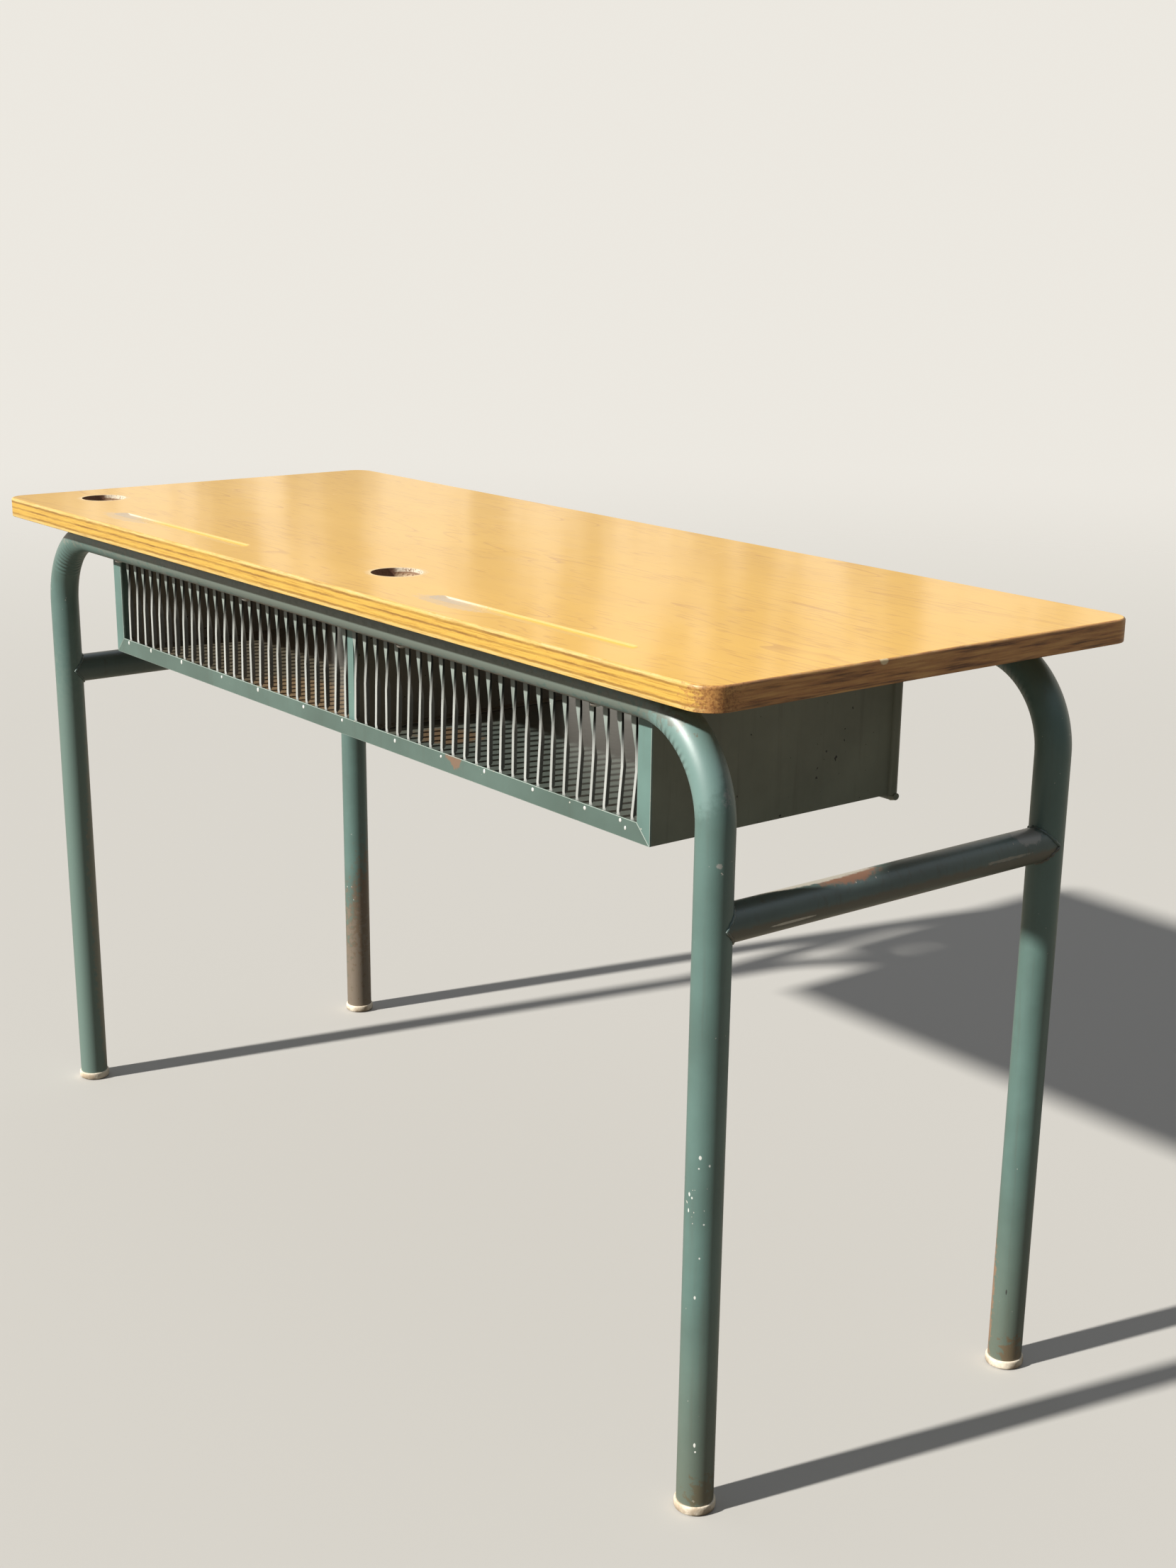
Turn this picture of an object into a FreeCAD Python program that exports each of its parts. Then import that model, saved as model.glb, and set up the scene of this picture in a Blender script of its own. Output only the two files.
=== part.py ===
import FreeCAD, Part
import os

os.makedirs("parts", exist_ok=True)

# All lengths are in millimetres. +Z is up, X runs along the desk and -Y is the grille side.

# Plywood top
desk_height = 760.0
top_length = 1300.0
top_depth = 512.0
top_thickness = 22.0
top_corner_radius = 24.0
top_edge_rounding = 2.5
place_count = 2

# Inkwell hole and pencil groove, set out from the left and front edges of each place
inkwell_radius = 26.0
inkwell_from_left = 78.0
inkwell_from_front = 93.0
groove_from_left = 198.0
groove_from_front = 50.0
groove_length = 312.0
groove_width = 19.0
groove_depth = 6.0

# Bent tube frame
tube_radius = 16.85
tube_wall = 2.0
leg_end_inset = 42.0
leg_side_inset = 50.0
bend_radius = 90.0
stretcher_height = 547.0
weld_gap = 0.2

# Foot caps
foot_radius = 19.0
foot_height = 9.0
foot_rounding = 2.5
plug_length = 25.0
plug_clearance = 0.15

# Sheet metal book box
box_end_inset = 146.0
box_front_inset = 68.0
box_depth = 300.0
box_height = 152.0
sheet_thickness = 1.2
floor_roll_radius = 5.0
wall_roll_radius = 5.5
wall_flange_width = 18.0
wall_flange_front_inset = 36.0
wall_flange_rear_inset = 22.0
divider_offset = 14.4
divider_front_inset = 4.4
divider_rear_inset = 14.0
divider_face_width = 8.4
divider_flange_width = 18.0
divider_foot_width = 12.0

# Angle frame around the grille
angle_width = 18.0
angle_thickness = 2.0
mitre_gap = 0.3

# Pressed grille bars, each turned and bowed back between its flat ends
bars_per_place = 25
bar_end_inset = 29.0
bar_width = 7.0
bar_thickness = 2.0
bar_twist_degrees = 50.0
bar_low_setback = 2.5
bar_bow_setback = 4.0
bar_top_setback = 2.0
bar_top_flat = 48.0
bar_top_run = 30.0
bar_bottom_flat = 10.0
bar_bottom_run = 8.0

# Wood screws
screw_radius = 2.5
screw_grip = 11.0
screw_clearance = 0.3
pilot_clearance = 0.1
screw_head_radius = 5.0
screw_head_height = 3.0
screw_head_rounding = 1.8
screw_point = 2.0
rail_screw_count = 4
rail_screw_pitch = 300.0
flange_screw_count = 3
flange_screw_pitch = 90.0

cut_overrun = 5.0

top_underside = desk_height - top_thickness
rail_height = top_underside - tube_radius
half_length = top_length / 2
half_depth = top_depth / 2
leg_x = half_length - leg_end_inset
leg_y = half_depth - leg_side_inset
tube_bore = tube_radius - tube_wall
box_bottom = top_underside - box_height
box_half = half_length - box_end_inset
box_inner_half = box_half - sheet_thickness
box_front = box_front_inset - half_depth
box_rear = box_front + box_depth
frame_back = box_front + angle_thickness
floor_bottom = box_bottom + angle_thickness
floor_top = floor_bottom + sheet_thickness
flange_bottom = top_underside - sheet_thickness
flange_front = box_front + wall_flange_front_inset
flange_rear = box_rear - wall_flange_rear_inset
flange_middle = (flange_front + flange_rear) / 2


def point(x, y, z):
    return FreeCAD.Vector(x, y, z)


def block(x_low, x_high, y_low, y_high, z_low, z_high):
    corner = point(x_low, y_low, z_low)
    return Part.makeBox(x_high - x_low, y_high - y_low, z_high - z_low, corner)


def rod(radius, start, end):
    run = end - start
    return Part.makeCylinder(radius, run.Length, start, run)


def ring_rod(radius, wall, start, end):
    step = end - start
    step.normalize()
    reach = step * cut_overrun
    return rod(radius, start, end).cut(rod(radius - wall, start - reach, end + reach))


def prism(outline, run):
    return Part.Face(Part.makePolygon(outline + outline[:1])).extrude(run)


def mirror_x(shape):
    return shape.mirror(point(0, 0, 0), point(1, 0, 0))


def spread(count, pitch):
    return [(index - (count - 1) / 2) * pitch for index in range(count)]


def place_edges():
    place_length = top_length / place_count
    return [index * place_length - half_length for index in range(place_count)]


def rail_screw_places(side):
    return [(x, side * leg_y) for x in spread(rail_screw_count, rail_screw_pitch)]


def flange_screw_places():
    wall_x = box_half + wall_flange_width / 2
    divider_x = divider_offset + (sheet_thickness + divider_flange_width) / 2
    lines = (-wall_x, divider_x, wall_x)
    steps = spread(flange_screw_count, flange_screw_pitch)
    return [(x, flange_middle + step) for x in lines for step in steps]


def screw(x, y, seat):
    tip = top_underside + screw_grip
    shank = rod(screw_radius, point(x, y, seat), point(x, y, tip - screw_point))
    cone = Part.makeCone(screw_radius, 0, screw_point, point(x, y, tip - screw_point))
    head = rod(screw_head_radius, point(x, y, seat - screw_head_height), point(x, y, seat))
    lower_rim = min(head.Edges, key=lambda edge: edge.BoundBox.ZMax)
    head = head.makeFillet(screw_head_rounding, [lower_rim])
    return head.fuse([shank, cone]).removeSplitter()


def pilot_hole(x, y):
    base = point(x, y, top_underside - cut_overrun)
    return rod(screw_radius + pilot_clearance, base, point(x, y, top_underside + screw_grip))


def pencil_groove(left_edge):
    half_width = groove_width / 2
    radius = (half_width ** 2 + groove_depth ** 2) / (2 * groove_depth)
    y = groove_from_front - half_depth
    z = desk_height - groove_depth + radius
    start = point(left_edge + groove_from_left + half_width, y, z)
    end = start + point(groove_length - groove_width, 0, 0)
    return rod(radius, start, end).fuse([Part.makeSphere(radius, start), Part.makeSphere(radius, end)])


def inkwell_hole(left_edge):
    x = left_edge + inkwell_from_left
    y = inkwell_from_front - half_depth
    low = point(x, y, top_underside - cut_overrun)
    return rod(inkwell_radius, low, point(x, y, desk_height + cut_overrun))


def top_board():
    board = block(-half_length, half_length, -half_depth, half_depth, top_underside, desk_height)
    uprights = [edge for edge in board.Edges if edge.BoundBox.ZLength > top_thickness / 2]
    board = board.makeFillet(top_corner_radius, uprights)
    rims = [edge for edge in board.Edges if edge.BoundBox.ZLength < top_thickness / 2]
    board = board.makeFillet(top_edge_rounding, rims)
    cuts = [pencil_groove(edge) for edge in place_edges()]
    cuts += [inkwell_hole(edge) for edge in place_edges()]
    screws = rail_screw_places(-1) + rail_screw_places(1) + flange_screw_places()
    cuts += [pilot_hole(x, y) for x, y in screws]
    return board.cut(cuts)


def tube_ring(centre, direction):
    outer = Part.Face(Part.Wire([Part.makeCircle(tube_radius, centre, direction)]))
    inner = Part.Face(Part.Wire([Part.makeCircle(tube_bore, centre, direction)]))
    return outer.cut(inner).Faces[0]


def frame_tube(side):
    y = side * leg_y
    bend_x = leg_x - bend_radius
    bend_z = rail_height - bend_radius
    upright = point(0, 0, 1)
    leg = tube_ring(point(leg_x, y, foot_height), upright).extrude(point(0, 0, bend_z - foot_height))
    bend_start = tube_ring(point(leg_x, y, bend_z), upright)
    bend = bend_start.revolve(point(bend_x, y, bend_z), point(0, 1, 0), -90)
    rail = tube_ring(point(-bend_x, y, rail_height), point(1, 0, 0)).extrude(point(2 * bend_x, 0, 0))
    tube = rail.fuse([bend, leg, mirror_x(bend), mirror_x(leg)]).removeSplitter()
    hole_radius = screw_radius + screw_clearance
    low = rail_height - tube_radius - cut_overrun
    high = rail_height + tube_radius + cut_overrun
    places = rail_screw_places(side)
    return tube.cut([rod(hole_radius, point(x, y, low), point(x, y, high)) for x, y in places])


def stretcher(side):
    x = side * leg_x
    front = point(x, -leg_y, stretcher_height)
    rear = point(x, leg_y, stretcher_height)
    rise = point(0, 0, tube_radius + cut_overrun)
    saddles = [rod(tube_radius + weld_gap, end - rise, end + rise) for end in (front, rear)]
    return ring_rod(tube_radius, tube_wall, front, rear).cut(saddles)


def foot_cap(x, y):
    cap = rod(foot_radius, point(x, y, 0), point(x, y, foot_height))
    rims = [edge for edge in cap.Edges if edge.BoundBox.ZLength < foot_height / 2]
    cap = cap.makeFillet(foot_rounding, rims)
    plug_top = point(x, y, foot_height + plug_length)
    plug = rod(tube_bore - plug_clearance, point(x, y, foot_rounding), plug_top)
    return cap.fuse(plug).removeSplitter()


def grille_bottom_rail():
    low = box_bottom
    high = box_bottom + angle_width
    reach = box_half - mitre_gap
    inner = reach - angle_width
    outline = [point(-reach, box_front, low), point(reach, box_front, low)]
    outline += [point(inner, box_front, high), point(-inner, box_front, high)]
    face = prism(outline, point(0, angle_thickness, 0))
    side = box_inner_half - angle_thickness
    ledge = block(-side, side, box_front, box_front + angle_width, low, low + angle_thickness)
    return face.fuse(ledge).removeSplitter()


def grille_top_rail():
    low = top_underside - angle_width
    reach = box_half - mitre_gap
    inner = reach - angle_width
    outline = [point(-inner, box_front, low), point(inner, box_front, low)]
    outline += [point(reach, box_front, top_underside), point(-reach, box_front, top_underside)]
    return prism(outline, point(0, angle_thickness, 0))


def grille_right_stile():
    inner = box_half - angle_width
    low_inner = box_bottom + angle_width
    high_inner = top_underside - angle_width
    outline = [point(box_half, box_front, box_bottom), point(box_half, box_front, top_underside)]
    outline += [point(inner, box_front, high_inner), point(inner, box_front, low_inner)]
    face = prism(outline, point(0, angle_thickness, 0))
    return_inner = box_inner_half - angle_thickness
    return_leg = block(return_inner, box_inner_half, frame_back, box_front + angle_width,
                       box_bottom, top_underside)
    return face.fuse(return_leg).removeSplitter()


def bar_section(x, z, setback, twist):
    half_width = bar_width / 2
    half_thickness = bar_thickness / 2
    corners = [(-half_width, -half_thickness), (half_width, -half_thickness)]
    corners += [(half_width, half_thickness), (-half_width, half_thickness)]
    outline = [point(across, deep, 0) for across, deep in corners]
    wire = Part.makePolygon(outline + outline[:1])
    wire.rotate(point(0, 0, 0), point(0, 0, 1), -twist)
    wire.translate(point(x, frame_back + half_thickness + setback, z))
    return wire


def grille_bar(x):
    top_bend = top_underside - bar_top_flat
    low_bend = floor_top + bar_bottom_flat
    sections = [
        bar_section(x, floor_top, 0, 0),
        bar_section(x, low_bend, 0, 0),
        bar_section(x, low_bend + bar_bottom_run, bar_low_setback, bar_twist_degrees),
        bar_section(x, top_bend - bar_top_run, bar_bow_setback, bar_twist_degrees),
        bar_section(x, top_bend, bar_top_setback, 0),
        bar_section(x, top_underside, 0, 0),
    ]
    return Part.makeLoft(sections, True, True)


def grille_bars(side):
    pitch = (box_half - bar_end_inset) / (bars_per_place - 1 / 2)
    places = [side * (index + 1 / 2) * pitch for index in range(bars_per_place)]
    return Part.makeCompound([grille_bar(x) for x in places])


def box_floor():
    roll_y = box_rear - floor_roll_radius
    roll_z = floor_top - floor_roll_radius
    sheet = block(-box_inner_half, box_inner_half, frame_back, roll_y, floor_bottom, floor_top)
    notch_x = box_inner_half - angle_thickness
    notch_y = box_front + angle_width
    notch = block(notch_x, box_half, frame_back - cut_overrun, notch_y,
                  floor_bottom - cut_overrun, floor_top + cut_overrun)
    sheet = sheet.cut([notch, mirror_x(notch)])
    ends = [point(x, roll_y, roll_z) for x in (-box_inner_half, box_inner_half)]
    roll = ring_rod(floor_roll_radius, sheet_thickness, ends[0], ends[1])
    return sheet.fuse(roll).removeSplitter()


def box_right_wall():
    roll_x = box_inner_half + wall_roll_radius
    roll_y = box_rear - wall_roll_radius
    sheet = block(box_inner_half, box_half, frame_back, roll_y, box_bottom, top_underside)
    roll = ring_rod(wall_roll_radius, sheet_thickness,
                    point(roll_x, roll_y, box_bottom), point(roll_x, roll_y, top_underside))
    flange = block(box_inner_half, box_half + wall_flange_width, flange_front, flange_rear,
                   flange_bottom, top_underside)
    holes = flange_screw_holes()
    return sheet.fuse([roll, flange]).removeSplitter().cut(holes)


def box_divider():
    left = divider_offset - sheet_thickness / 2
    right = left + sheet_thickness
    front = box_front + divider_front_inset
    rear = box_rear - divider_rear_inset
    sheet = block(left, right, front, rear, floor_top, top_underside)
    face = block(left, left + divider_face_width, front, front + sheet_thickness, floor_top, top_underside)
    flange = block(left, right + divider_flange_width, flange_front, flange_rear,
                   flange_bottom, top_underside)
    foot = block(left, right + divider_foot_width, flange_front, flange_rear,
                 floor_top, floor_top + sheet_thickness)
    return sheet.fuse([face, flange, foot]).removeSplitter().cut(flange_screw_holes())


def flange_screw_holes():
    radius = screw_radius + screw_clearance
    low = flange_bottom - cut_overrun
    high = top_underside + cut_overrun
    return [rod(radius, point(x, y, low), point(x, y, high)) for x, y in flange_screw_places()]


def rail_screws(side):
    seat = rail_height - tube_radius
    return Part.makeCompound([screw(x, y, seat) for x, y in rail_screw_places(side)])


def flange_screws():
    return Part.makeCompound([screw(x, y, flange_bottom) for x, y in flange_screw_places()])


def desk_nodes():
    right_stile = grille_right_stile()
    right_wall = box_right_wall()
    return {
        "top_board": top_board(),
        "front_frame_tube": frame_tube(-1),
        "rear_frame_tube": frame_tube(1),
        "left_stretcher": stretcher(-1),
        "right_stretcher": stretcher(1),
        "foot_cap_front_left": foot_cap(-leg_x, -leg_y),
        "foot_cap_front_right": foot_cap(leg_x, -leg_y),
        "foot_cap_rear_left": foot_cap(-leg_x, leg_y),
        "foot_cap_rear_right": foot_cap(leg_x, leg_y),
        "grille_bottom_rail": grille_bottom_rail(),
        "grille_top_rail": grille_top_rail(),
        "grille_left_stile": mirror_x(right_stile),
        "grille_right_stile": right_stile,
        "grille_bars_left": grille_bars(-1),
        "grille_bars_right": grille_bars(1),
        "box_floor": box_floor(),
        "box_left_wall": mirror_x(right_wall),
        "box_right_wall": right_wall,
        "box_divider": box_divider(),
        "front_rail_screws": rail_screws(-1),
        "rear_rail_screws": rail_screws(1),
        "box_flange_screws": flange_screws(),
    }


for name, shape in desk_nodes().items():
    shape.exportStep("parts/" + name + ".step")
    print(name, len(shape.Solids), shape.isValid())
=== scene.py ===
import math
import random

import bmesh
import bpy
from mathutils import Matrix, Vector


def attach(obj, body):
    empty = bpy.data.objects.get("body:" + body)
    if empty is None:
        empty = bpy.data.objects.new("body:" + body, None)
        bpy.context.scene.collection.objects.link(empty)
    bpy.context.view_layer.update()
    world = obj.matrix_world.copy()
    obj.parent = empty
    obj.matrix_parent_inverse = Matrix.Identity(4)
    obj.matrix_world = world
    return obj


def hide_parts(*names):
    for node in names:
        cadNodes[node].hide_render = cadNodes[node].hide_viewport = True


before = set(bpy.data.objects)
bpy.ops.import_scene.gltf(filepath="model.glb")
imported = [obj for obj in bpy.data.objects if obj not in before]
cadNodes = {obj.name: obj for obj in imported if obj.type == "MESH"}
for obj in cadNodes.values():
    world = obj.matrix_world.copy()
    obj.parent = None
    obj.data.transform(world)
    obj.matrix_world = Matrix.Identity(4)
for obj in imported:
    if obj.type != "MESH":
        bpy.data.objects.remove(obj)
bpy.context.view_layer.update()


# shapes are given in millimetres and turned into metres here
def mm(x, y, z):
    return Vector((x, y, z)) / 1000


def vertsOf(made):
    return [item for item in made if isinstance(item, bmesh.types.BMVert)]


def edgesOf(made):
    return [item for item in made if isinstance(item, bmesh.types.BMEdge)]


def cornersOf(edges):
    return list(dict.fromkeys(vert for edge in edges for vert in edge.verts))


def edgesAt(verts):
    return list(dict.fromkeys(edge for vert in verts for edge in vert.link_edges))


def riseOf(edge):
    return abs(edge.verts[0].co.z - edge.verts[1].co.z)


def mergeDoubles(bm):
    bmesh.ops.remove_doubles(bm, verts=bm.verts, dist=1e-6)


def faceOutwards(bm):
    bmesh.ops.recalc_face_normals(bm, faces=bm.faces)


def closeEnds(bm):
    bmesh.ops.holes_fill(bm, edges=[edge for edge in bm.edges if edge.is_boundary], sides=0)


def move(bm, verts, travel):
    bmesh.ops.translate(bm, vec=travel, verts=verts)


def drawLine(bm, spots):
    verts = [bm.verts.new(spot) for spot in spots]
    return verts, [bm.edges.new(pair) for pair in zip(verts, verts[1:])]


def pull(bm, edges, travel, steps):
    for _ in range(steps):
        made = bmesh.ops.extrude_edge_only(bm, edges=edges)["geom"]
        move(bm, vertsOf(made), travel / steps)
        edges = edgesOf(made)
    return edges


def turn(bm, geom, centre, axis, degrees, steps):
    made = bmesh.ops.spin(
        bm, geom=geom, cent=centre, axis=axis, angle=math.radians(degrees),
        steps=steps, use_merge=False, use_duplicate=False)
    return made["geom_last"]


def lathe(bm, outline, centre, steps):
    verts, edges = drawLine(bm, [centre + mm(radius, 0, height) for radius, height in outline])
    bmesh.ops.spin(bm, geom=verts + edges, cent=centre, axis=(0, 0, 1), angle=math.tau,
                   steps=steps, use_merge=True, use_duplicate=False)
    mergeDoubles(bm)


def softenEdges(bm, edges, width, segments=2):
    return bmesh.ops.bevel(bm, geom=edges, offset=width / 1000, offset_type="OFFSET", segments=segments,
                           profile=0.5, affect="EDGES", clamp_overlap=True, material=-1)["faces"]


def sharpEdges(bm, degrees):
    limit = math.radians(degrees)
    return [edge for edge in bm.edges if edge.is_manifold and edge.calc_face_angle() > limit]


def plate(bm, low, high):
    made = bmesh.ops.create_cube(bm, size=1)["verts"]
    bmesh.ops.scale(bm, vec=high - low, verts=made)
    move(bm, made, (low + high) / 2)
    return made


def newObject(name, data):
    made = bpy.data.objects.new(name, data)
    bpy.context.scene.collection.objects.link(made)
    return made


def looseMesh(bm, name):
    mesh = bpy.data.meshes.new(name)
    bm.to_mesh(mesh)
    bm.free()
    return newObject(name, mesh)


def meshNow(piece):
    return bpy.data.meshes.new_from_object(piece.evaluated_get(bpy.context.evaluated_depsgraph_get()))


# takes the cutter's shape out of a piece and gives the mesh that is left
def carved(piece, cutterMesh):
    faceOutwards(cutterMesh)
    cutter = looseMesh(cutterMesh, "cutter")
    cut = piece.modifiers.new("cut", "BOOLEAN")
    cut.object = cutter
    cut.solver = "EXACT"
    shaped = meshNow(piece)
    piece.modifiers.remove(cut)
    bpy.data.objects.remove(cutter)
    return shaped


def finishPiece(piece, finishes, nodes, sharpAngle=38):
    for finish in finishes:
        piece.data.materials.append(finish)
    piece.data.shade_smooth()
    piece.data.set_sharp_from_angle(angle=math.radians(sharpAngle))
    even = piece.modifiers.new("evenNormals", "WEIGHTED_NORMAL")
    even.keep_sharp = True
    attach(piece, "root")
    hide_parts(*nodes)


def settle(bm, name, finishes, nodes, sharpAngle=38):
    faceOutwards(bm)
    finishPiece(looseMesh(bm, name), finishes, nodes, sharpAngle)


# shader node helpers: a value is either a number, a colour or another node's output
def feed(tree, node, values):
    for name, value in values.items():
        if isinstance(value, bpy.types.NodeSocket):
            tree.links.new(value, node.inputs[name])
        else:
            node.inputs[name].default_value = value


def put(tree, kind, values=None, **settings):
    made = tree.nodes.new("ShaderNode" + kind)
    for name, value in settings.items():
        setattr(made, name, value)
    feed(tree, made, values or {})
    return made


def sums(tree, operation, first, second=0.0, clamp=False):
    return put(tree, "Math", {0: first, 1: second}, operation=operation, use_clamp=clamp).outputs[0]


def times(tree, first, second, clamp=False):
    return sums(tree, "MULTIPLY", first, second, clamp)


def plus(tree, first, second, clamp=False):
    return sums(tree, "ADD", first, second, clamp)


def minus(tree, first, second, clamp=False):
    return sums(tree, "SUBTRACT", first, second, clamp)


# first, and a share of second on top
def plusShare(tree, first, second, share, clamp=False):
    return plus(tree, first, times(tree, second, share), clamp)


def axesOf(tree, place):
    return put(tree, "SeparateXYZ", {0: place}).outputs


def mixColour(tree, share, first, second, how="MIX"):
    made = put(tree, "Mix", {0: share, 6: first, 7: second}, data_type="RGBA", blend_type=how)
    return made.outputs[2]


def grainNoise(tree, place, scale, detail=2.0, roughness=0.5):
    values = {"Vector": place, "Scale": scale, "Detail": detail, "Roughness": roughness}
    return put(tree, "TexNoise", values).outputs[0]


# noise with its own scale along each axis
def drawnNoise(tree, place, scales, detail=2.0, roughness=0.5, shift=(0, 0, 0)):
    drawn = put(tree, "Mapping", {"Vector": place, "Location": shift, "Scale": scales}).outputs[0]
    return grainNoise(tree, drawn, 1.0, detail, roughness)


def window(tree, value, low, high):
    return put(tree, "MapRange", {0: value, 1: low, 2: high}, interpolation_type="SMOOTHSTEP").outputs[0]


def rampColours(tree, value, stops):
    made = put(tree, "ValToRGB", {0: value})
    elements = made.color_ramp.elements
    while len(elements) < len(stops):
        elements.new(1.0)
    for element, (position, colour) in zip(elements, stops):
        element.position = position
        element.color = (*colour, 1)
    return made.outputs[0]


def flawNoise(tree, place):
    return minus(tree, grainNoise(tree, place, 150.0, 4.0, 0.65), 0.5)


# ragged mask round one place; stretch scales the distance along each axis
def spotMask(tree, place, flaw, centre, reach, stretch=(1, 1, 1), ragged=0.5):
    scaled = put(tree, "VectorMath", {0: place, 1: stretch}, operation="MULTIPLY").outputs[0]
    target = tuple(spot * scale for spot, scale in zip(centre, stretch))
    away = put(tree, "VectorMath", {0: scaled, 1: target}, operation="DISTANCE").outputs["Value"]
    value = plusShare(tree, sums(tree, "DIVIDE", away, reach), flaw, 2 * ragged)
    return minus(tree, 1.0, window(tree, value, 0.7, 1.0))


def newFinish(name):
    finish = bpy.data.materials.new(name)
    finish.use_nodes = True
    tree = finish.node_tree
    shader = tree.nodes["Principled BSDF"]
    place = put(tree, "TexCoord").outputs["Object"]
    return finish, tree, shader, place


def dress(tree, shader, colour, roughness, height, depth):
    bump = put(tree, "Bump", {"Height": height, "Strength": 1.0, "Distance": depth}).outputs[0]
    feed(tree, shader, {"Base Color": colour, "Roughness": roughness, "Normal": bump})


def newGroup(name, inputs, outputs):
    tree = bpy.data.node_groups.new(name, "ShaderNodeTree")
    for direction, sockets in (("INPUT", inputs), ("OUTPUT", outputs)):
        for socketName, kind in sockets:
            tree.interface.new_socket(name=socketName, in_out=direction, socket_type="NodeSocket" + kind)
    given = tree.nodes.new("NodeGroupInput").outputs
    asked = tree.nodes.new("NodeGroupOutput")
    return tree, given, asked


wear = {"streak": (0.075, 0.065, 0.048, 1), "grime": (0.125, 0.112, 0.068, 1),
        "rustDark": (0.10, 0.035, 0.015, 1), "rustLight": (0.34, 0.13, 0.045, 1)}


# old gloss paint: cloudy colour, chips down to primer, rust and grime that gather near the floor
def buildPaintWear():
    inputs = [("Place", "Vector"), ("Paint", "Color"), ("Primer", "Color"), ("Chips", "Float"),
              ("Rust", "Float"), ("Grime", "Float"), ("GrimeHeight", "Float"), ("Streaks", "Float")]
    outputs = [("Color", "Color"), ("Roughness", "Float"), ("Height", "Float")]
    tree, given, asked = newGroup("paintWear", inputs, outputs)
    place = given["Place"]
    cloud = grainNoise(tree, place, 12.0, 4.0, 0.55)
    fine = grainNoise(tree, place, 95.0, 5.0, 0.65)
    peel = grainNoise(tree, place, 420.0)
    shade = rampColours(tree, cloud, [(0.3, (0.82, 0.82, 0.80)), (0.7, (1.13, 1.13, 1.12))])
    colour = mixColour(tree, 1.0, given["Paint"], shade, "MULTIPLY")
    streak = drawnNoise(tree, place, (150, 150, 7), 4.0, 0.6)
    streakMask = times(tree, window(tree, streak, 0.5, 0.78), given["Streaks"])
    colour = mixColour(tree, streakMask, colour, wear["streak"])

    height = axesOf(tree, place)[2]
    low = minus(tree, 1.0, sums(tree, "DIVIDE", height, given["GrimeHeight"]), clamp=True)
    settled = times(tree, low, plusShare(tree, 0.45, cloud, 0.8))
    grime = times(tree, settled, given["Grime"], clamp=True)
    colour = mixColour(tree, grime, colour, wear["grime"])

    cluster = grainNoise(tree, place, 16.0, 3.0, 0.6)
    flake = grainNoise(tree, place, 210.0, 2.0, 0.45)
    chipValue = plusShare(tree, flake, cluster, 0.35)
    chipValue = plusShare(tree, chipValue, given["Chips"], 0.12)
    chip = window(tree, chipValue, 0.965, 0.985)
    colour = mixColour(tree, chip, colour, given["Primer"])

    rot = grainNoise(tree, place, 62.0, 6.0, 0.7)
    rustValue = plusShare(tree, rot, low, 0.08)
    rustValue = plusShare(tree, rustValue, given["Rust"], 0.12)
    rust = window(tree, rustValue, 0.80, 0.88)
    rustColour = mixColour(tree, fine, wear["rustDark"], wear["rustLight"])
    colour = mixColour(tree, rust, colour, rustColour)

    rough = plusShare(tree, 0.34, fine, 0.18)
    rough = plusShare(tree, rough, grime, 0.25)
    worn = sums(tree, "MAXIMUM", chip, rust)
    rough = plusShare(tree, rough, worn, 0.35, clamp=True)
    bumps = plusShare(tree, times(tree, peel, 0.16), cloud, 0.5)
    bumps = plusShare(tree, bumps, fine, 0.12)
    bumps = plusShare(tree, bumps, chip, -0.4)
    bumps = plusShare(tree, bumps, times(tree, rust, rot), 0.4)
    feed(tree, asked, {"Color": colour, "Roughness": rough, "Height": bumps})
    return tree


# sliced veneer: cloudy figure and short flecks that run along the desk
def buildVeneer():
    inputs = [("Place", "Vector"), ("Wood", "Color"), ("Fleck", "Color"), ("FleckShare", "Float")]
    outputs = [("Color", "Color"), ("Height", "Float")]
    tree, given, asked = newGroup("veneer", inputs, outputs)
    place = given["Place"]
    drift = drawnNoise(tree, place, (2.2, 5.0, 5.0))
    bend = put(tree, "CombineXYZ", {1: times(tree, drift, 0.09)}).outputs[0]
    bent = put(tree, "VectorMath", {0: place, 1: bend}, operation="ADD").outputs[0]
    figure = drawnNoise(tree, bent, (2.6, 15, 15), 4.0, 0.55)
    shade = rampColours(tree, figure, [(0.3, (0.965, 0.95, 0.92)), (0.7, (1.03, 1.035, 1.05))])
    colour = mixColour(tree, 1.0, given["Wood"], shade, "MULTIPLY")
    growth = drawnNoise(tree, place, (0.85, 7.5, 7.5), 2.0, 0.40, (0.4, 2.3, 0.0))
    ring = sums(tree, "FRACT", times(tree, growth, 26.0))
    faded = window(tree, drawnNoise(tree, place, (5, 14, 14), 3.0), 0.38, 0.66)
    line = times(tree, window(tree, ring, 0.86, 0.985), faded)
    colour = mixColour(tree, times(tree, line, given["FleckShare"]), colour, given["Fleck"])
    dash = drawnNoise(tree, bent, (30, 330, 330))
    patch = drawnNoise(tree, bent, (7, 18, 18))
    dashValue = plusShare(tree, dash, patch, 0.35)
    dashMask = times(tree, window(tree, dashValue, 0.74, 0.88), given["FleckShare"])
    colour = mixColour(tree, times(tree, dashMask, 0.7), colour, given["Fleck"])
    pores = drawnNoise(tree, place, (60, 700, 700))
    feed(tree, asked, {"Color": colour, "Height": plus(tree, pores, dashMask)})
    return tree


paintWear = buildPaintWear()
veneer = buildVeneer()
print("shader groups built")


def veneerSheet(tree, place, wood, fleck, share):
    values = {"Place": place, "Wood": wood, "Fleck": fleck, "FleckShare": share}
    return put(tree, "Group", values, node_tree=veneer).outputs


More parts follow.
